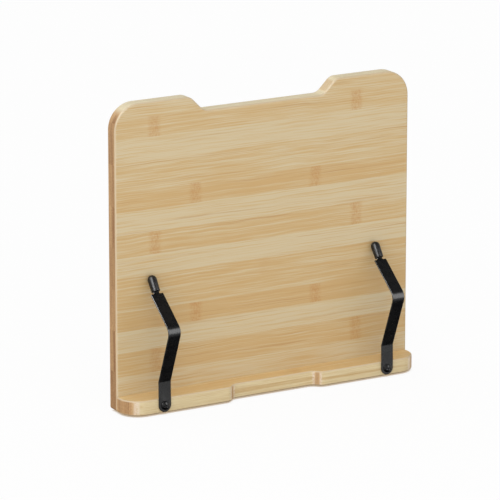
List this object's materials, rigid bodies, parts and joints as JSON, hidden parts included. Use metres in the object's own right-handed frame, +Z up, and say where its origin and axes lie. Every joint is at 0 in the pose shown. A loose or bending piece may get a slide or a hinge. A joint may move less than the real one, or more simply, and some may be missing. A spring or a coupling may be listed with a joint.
{
  "type": "book display stand",
  "caption": "Folding upright board with a bottom ledge, pivoting page clips and a rear leg on slotted rails; holds an open book for reading or display.",
  "frame": {"origin": "middle of the folded footprint on the table: the centre of the bottom of the bounding box with the leg folded and the board upright", "axes": "+X to the right as seen by a reader in front of the stand, +Y to the rear, +Z up; the board's face looks along -Y"},
  "size_m": [0.33, 0.0802, 0.3045],
  "materials": {
    "bamboo": "satin clear lacquer over laminated bamboo strips laid along X",
    "bamboo_ledge": "satin clear lacquer over laminated bamboo strips laid along X",
    "bamboo_leg": "satin clear lacquer over laminated bamboo strips laid along Z",
    "spring_steel_black": "satin black baked coating",
    "mechanism_steel_black": "satin black powder coating, fine texture",
    "black_screw": "black oxide, slight sheen",
    "tip_rubber": "smooth moulded rubber",
    "foot_rubber": "matt rubber",
    "black_nylon": "matt"
  },
  "bodies": {
    "stand": {"board": "bamboo", "ledge": "bamboo_ledge", "ledge_screws": "black_screw", "foot_pads": "foot_rubber", "left_clip_screw": "black_screw", "right_clip_screw": "black_screw", "left_clip_washer": "black_nylon", "right_clip_washer": "black_nylon", "left_rail": "mechanism_steel_black", "right_rail": "mechanism_steel_black", "rail_screws": "black_screw"},
    "left_clip": {"left_clip_strip": "spring_steel_black", "left_clip_tip": "tip_rubber"},
    "right_clip": {"right_clip_strip": "spring_steel_black", "right_clip_tip": "tip_rubber"},
    "leg": {"leg": "bamboo_leg", "leg_foot": "foot_rubber", "left_leg_screw": "black_screw", "right_leg_screw": "black_screw", "left_leg_spacer": "mechanism_steel_black", "right_leg_spacer": "mechanism_steel_black", "left_stay_screw": "black_screw", "right_stay_screw": "black_screw", "left_stay_washer": "black_nylon", "right_stay_washer": "black_nylon"},
    "left_stay": {"left_stay_arm": "mechanism_steel_black", "left_slide_pin": "black_screw"},
    "right_stay": {"right_stay_arm": "mechanism_steel_black", "right_slide_pin": "black_screw"}
  },
  "joints": [
    {"name": "leg_fold", "type": "hinge", "parent": "stand", "child": "leg", "pos_m": [0, 0.03108, 0.2065], "axis": [1, 0, 0], "range_deg": [0, 75]},
    {"name": "left_stay_swing", "type": "hinge", "parent": "leg", "child": "left_stay", "pos_m": [-0.047, 0.03108, 0.1365], "axis": [1, 0, 0], "range_deg": [-150, 0]},
    {"name": "right_stay_swing", "type": "hinge", "parent": "leg", "child": "right_stay", "pos_m": [0.047, 0.03108, 0.1365], "axis": [1, 0, 0], "range_deg": [-150, 0]},
    {"name": "left_clip_swing", "type": "hinge", "parent": "stand", "child": "left_clip", "pos_m": [-0.1265, -0.01797, 0.0095], "axis": [0, 1, 0], "range_deg": [-90, 70]},
    {"name": "right_clip_swing", "type": "hinge", "parent": "stand", "child": "right_clip", "pos_m": [0.1265, -0.01797, 0.0095], "axis": [0, 1, 0], "range_deg": [-70, 90]}
  ],
  "couplings": [
    {"joint": "left_stay_swing", "follows": "leg_fold", "ratio": -2},
    {"joint": "right_stay_swing", "follows": "leg_fold", "ratio": -2}
  ]
}
